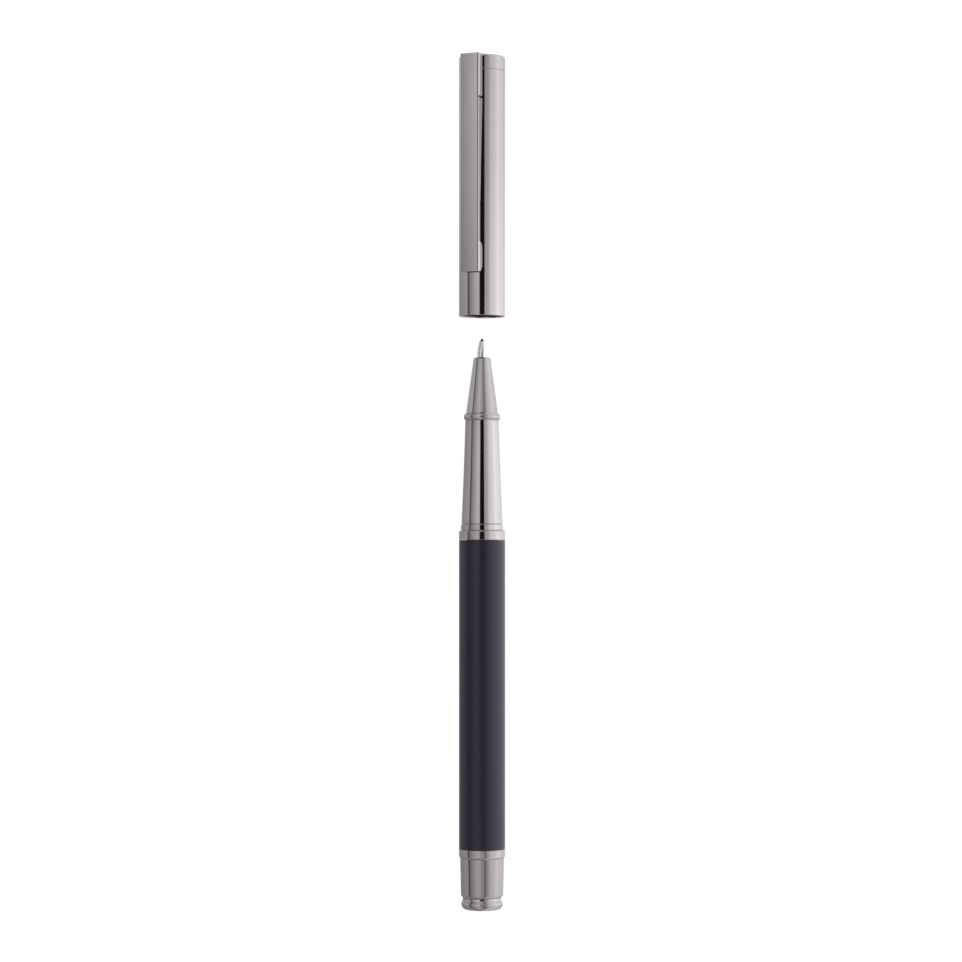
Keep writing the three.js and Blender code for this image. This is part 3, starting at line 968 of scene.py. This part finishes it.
# ---------- assembly ----------
PIECES = [
    (tail_button, "tail_button", "barrel", "gunmetal_plate"),
    (rear_sleeve, "rear_sleeve", "barrel", "gunmetal_plate"),
    (rear_ring, "rear_ring", "barrel", "gunmetal_plate"),
    (tail_cup, "tail_cup", "barrel", "brass"),
    (barrel_tube, "barrel_tube", "barrel", "barrel_lacquer"),
    (front_bush, "front_bush", "barrel", "brass"),
    (refill_spring, "refill_spring", "barrel", "spring_steel"),
    (refill_tube, "refill_tube", "refill", "refill_metal"),
    (refill_end_plug, "refill_end_plug", "refill", "black_plastic"),
    (ink_reservoir, "ink_reservoir", "refill", "ink_fibre"),
    (tip_holder, "tip_holder", "refill", "white_plastic"),
    (feed_rod, "feed_rod", "refill", "ink_fibre"),
    (writing_tip, "writing_tip", "refill", "nickel_silver"),
    (tip_ball, "tip_ball", "ball", "carbide"),
    (grip_core, "grip_core", "grip", "brass"),
    (centre_collar, "centre_collar", "grip", "gunmetal_plate"),
    (grip_sleeve, "grip_sleeve", "grip", "gunmetal_plate"),
    (bead_ring, "bead_ring", "grip", "gunmetal_plate"),
    (nose_cone, "nose_cone", "grip", "gunmetal_plate"),
    (cap_tube, "cap_tube", "cap", "gunmetal_plate"),
    (cap_liner, "cap_liner", "cap", "black_plastic"),
    (cap_crown, "cap_crown", "cap", "gunmetal_plate"),
    (clip_washer, "clip_washer", "cap", "spring_steel"),
    (clip_screw, "clip_screw", "cap", "spring_steel"),
    (clip_anchor, "clip_anchor", "cap", "spring_steel"),
    (clip, "clip", "clip", "gunmetal_plate"),
]

for make, node, body, slot in PIECES:
    dress(make(), node, body, slot)
dress(clip_foot(), None, "cap", "gunmetal_plate")


# ---------- studio ----------
def floor():
    """Pale table, bright enough to read as white. It stays out of the metal's reflections,
    which see the studio's own lower half instead."""
    half_metres = 3.0
    bm = bmesh.new()
    bmesh.ops.create_grid(bm, x_segments=1, y_segments=1, size=half_metres)
    mesh = bpy.data.meshes.new("floor")
    bm.to_mesh(mesh)
    bm.free()
    piece = bpy.data.objects.new("floor", mesh)
    bpy.context.collection.objects.link(piece)
    material, tree, shader = new_material("floor", (0.1, 0.1, 0.1), 0.0, 0.9)
    shader.inputs["Emission Color"].default_value = (1, 1, 1, 1)
    shader.inputs["Emission Strength"].default_value = 0.97
    mesh.materials.append(material)
    piece.visible_glossy = False
    return piece


# Brightness of the studio round the pen's axis, by angle from straight up (left is negative):
# a dim softbox on the left, a broad bright one on the right.
STUDIO = [
    (-180, 0.40), (-137, 0.39), (-112, 0.45), (-84, 0.50), (-79, 0.45), (-76, 0.12),
    (-69, 0.12), (-65, 0.31), (-57, 0.38), (-45, 0.49), (-33, 0.60), (-26, 0.67), (-18, 0.66),
    (-6, 0.56), (8, 0.54), (20, 0.61), (32, 0.66), (36, 0.92), (44, 1.05), (55, 1.17),
    (64, 1.21), (72, 1.30), (85, 1.55), (92, 1.50), (101, 1.36), (115, 1.40), (125, 1.22),
    (137, 1.15), (180, 0.90),
]
# How each side changes along the pen, by the direction's Y.
ALONG_LEFT = [(-1, 0.85), (-0.16, 0.9), (0, 1), (0.085, 1.05), (0.11, 1.38), (0.16, 1.55),
              (0.32, 1.03), (1, 0.9)]
ALONG_RIGHT = [(-1, 0.6), (-0.16, 0.64), (-0.10, 0.8), (0.03, 1), (0.085, 1.03), (0.11, 0.9),
               (0.16, 0.78), (0.32, 0.8), (1, 0.7)]
# The black opening overhead, by angle, and how far it reaches along the pen. Beyond its ends
# only the seam between the two softboxes is dark.
OPENING = [(-180, 1), (-14, 1), (-12, 0.01), (11.5, 0.01), (13.5, 1), (180, 1)]
OPENING_REACH = [(-1, 0), (-0.085, 0), (-0.035, 1), (0.22, 1), (0.28, 0), (1, 0)]
SEAM = [(-180, 1), (12, 1), (15.5, 0.2), (17.5, 0.2), (21, 1), (180, 1)]
BLEND = [(-180, 0), (-10, 0), (10, 1), (180, 1)]
BACKDROP = 1.0


def read_off(tree, value, stops):
    """The level at a value, from (value, level) stops."""
    low = stops[0][0]
    high = stops[-1][0]
    peak = max(level for _, level in stops)
    share = math_node(tree, "MULTIPLY_ADD", value, 1 / (high - low), -low / (high - low))
    ramp = tree.nodes.new("ShaderNodeValToRGB")
    tree.links.new(share, ramp.inputs["Fac"])
    marks = ramp.color_ramp.elements
    while len(marks) < len(stops):
        marks.new(0.5)
    for mark, (at, level) in zip(marks, stops):
        mark.position = (at - low) / (high - low)
        mark.color = (level / peak,) * 3 + (1,)
    return math_node(tree, "MULTIPLY", ramp.outputs["Color"], peak)


def between(tree, a, b, share):
    """a where share is 0, b where it is 1."""
    return math_node(tree, "MULTIPLY_ADD", math_node(tree, "SUBTRACT", b, a), share, a)


def world():
    studio = bpy.data.worlds.new("studio")
    bpy.context.scene.world = studio
    studio.use_nodes = True
    tree = studio.node_tree
    tree.nodes.clear()
    where = tree.nodes.new("ShaderNodeTexCoord")
    parts = tree.nodes.new("ShaderNodeSeparateXYZ")
    link(tree, where, "Generated", parts, "Vector")
    along = parts.outputs["Y"]
    turn = math_node(tree, "ARCTAN2", parts.outputs["X"], parts.outputs["Z"])
    angle = math_node(tree, "MULTIPLY", turn, 180 / math.pi)
    sides = between(tree, read_off(tree, along, ALONG_LEFT), read_off(tree, along, ALONG_RIGHT),
                    read_off(tree, angle, BLEND))
    dark = between(tree, read_off(tree, angle, SEAM), read_off(tree, angle, OPENING),
                   read_off(tree, along, OPENING_REACH))
    softboxes = math_node(tree, "MULTIPLY", read_off(tree, angle, STUDIO), sides)
    rig = tree.nodes.new("ShaderNodeBackground")
    tree.links.new(math_node(tree, "MULTIPLY", softboxes, dark), rig.inputs["Strength"])
    rig.inputs["Color"].default_value = (1, 1, 1, 1)
    backdrop = tree.nodes.new("ShaderNodeBackground")
    backdrop.inputs["Color"].default_value = (BACKDROP, BACKDROP, BACKDROP, 1)
    path = tree.nodes.new("ShaderNodeLightPath")
    mix = tree.nodes.new("ShaderNodeMixShader")
    out = tree.nodes.new("ShaderNodeOutputWorld")
    tree.links.new(path.outputs["Is Camera Ray"], mix.inputs[0])
    tree.links.new(rig.outputs[0], mix.inputs[1])
    tree.links.new(backdrop.outputs[0], mix.inputs[2])
    tree.links.new(mix.outputs[0], out.inputs["Surface"])


def math_node(tree, operation, *values):
    node = tree.nodes.new("ShaderNodeMath")
    node.operation = operation
    for socket, value in zip(node.inputs, values):
        if isinstance(value, (int, float)):
            socket.default_value = value
        else:
            tree.links.new(value, socket)
    return node.outputs[0]


def camera():
    """Straight down on the pen from 650 mm, with the picture shifted towards the cap."""
    distance = 0.650
    px_per_mm = 4.61
    picture_px = 962
    sensor_mm = 36.0
    foot_station = 80.15
    middle_station = 92.95
    side = -0.00024
    data = bpy.data.cameras.new("camera")
    data.sensor_width = sensor_mm
    data.lens = sensor_mm * px_per_mm * (distance / MM) / picture_px
    data.shift_y = (middle_station - foot_station) * px_per_mm / picture_px
    piece = bpy.data.objects.new("camera", data)
    bpy.context.collection.objects.link(piece)
    piece.location = (side, (TAIL + foot_station) * MM, AXIS_Z + distance)
    bpy.context.scene.camera = piece


floor()
world()
camera()
bpy.context.scene.view_settings.view_transform = "Standard"
